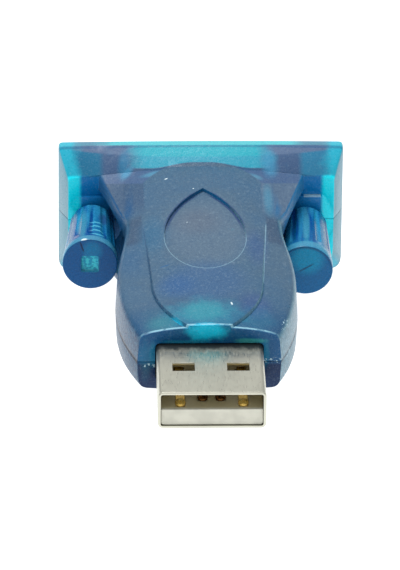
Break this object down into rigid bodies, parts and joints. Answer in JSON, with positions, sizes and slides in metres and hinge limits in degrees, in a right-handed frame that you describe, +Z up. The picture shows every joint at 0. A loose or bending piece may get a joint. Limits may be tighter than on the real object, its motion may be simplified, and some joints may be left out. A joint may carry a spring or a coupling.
{
  "type": "usb to serial adapter",
  "caption": "Serial adapter in a waisted, translucent blue moulded housing, with a flat plug at its nose, a pin-type D connector in its flared hood and thumbscrews that turn.",
  "frame": {"origin": "centre of the overall box's underside: midway along the adapter, below its middle line, level with the hood's lowest edge", "axes": "+Y from the plug's mouth to the D connector, +Z up through the raised panel, +X to the right seen from the plug's end"},
  "size_m": [0.0336, 0.057, 0.0165],
  "materials": {
    "blue_housing": "translucent, fine matte grain",
    "blue_knob": "translucent, smooth",
    "nickel_steel": "satin nickel plate",
    "tin_steel": "satin tin plate",
    "screw_steel": "bright zinc plate",
    "white_plastic": "moulded",
    "black_plastic": "moulded",
    "contact_gold": "gold flash",
    "pin_gold": "gold flash",
    "board_green": "solder mask",
    "chip_black": "moulded",
    "can_steel": "satin",
    "ceramic": "fired ceramic"
  },
  "bodies": {
    "adapter": {"upper_shell": "blue_housing", "lower_shell": "blue_housing", "usb_plug_shell": "nickel_steel", "usb_plug_insulator": "white_plastic", "usb_contact_1": "contact_gold", "usb_contact_2": "contact_gold", "usb_contact_3": "contact_gold", "usb_contact_4": "contact_gold", "dsub_face_shell": "tin_steel", "dsub_rear_shell": "tin_steel", "dsub_core": "black_plastic", "dsub_pin_1": "pin_gold", "dsub_pin_2": "pin_gold", "dsub_pin_3": "pin_gold", "dsub_pin_4": "pin_gold", "dsub_pin_5": "pin_gold", "dsub_pin_6": "pin_gold", "dsub_pin_7": "pin_gold", "dsub_pin_8": "pin_gold", "dsub_pin_9": "pin_gold", "circuit_board": "board_green", "bridge_chip": "chip_black", "driver_chip": "chip_black", "crystal_can": "can_steel", "capacitor_1": "ceramic", "capacitor_2": "ceramic", "capacitor_3": "ceramic", "capacitor_4": "ceramic", "capacitor_5": "ceramic", "resistor_1": "chip_black", "resistor_2": "chip_black"},
    "left_thumbscrew": {"left_knob": "blue_knob", "left_screw": "screw_steel"},
    "right_thumbscrew": {"right_knob": "blue_knob", "right_screw": "screw_steel"}
  },
  "joints": [
    {"name": "left_thumbscrew_spin", "type": "hinge", "parent": "adapter", "child": "left_thumbscrew", "pos_m": [-0.01318, 0.00748, 0.00805], "axis": [0.0349, 0.9994, 0], "continuous": true},
    {"name": "right_thumbscrew_spin", "type": "hinge", "parent": "adapter", "child": "right_thumbscrew", "pos_m": [0.01181, 0.00751, 0.00713], "axis": [0.0392, 0.9976, 0.0576], "continuous": true}
  ]
}
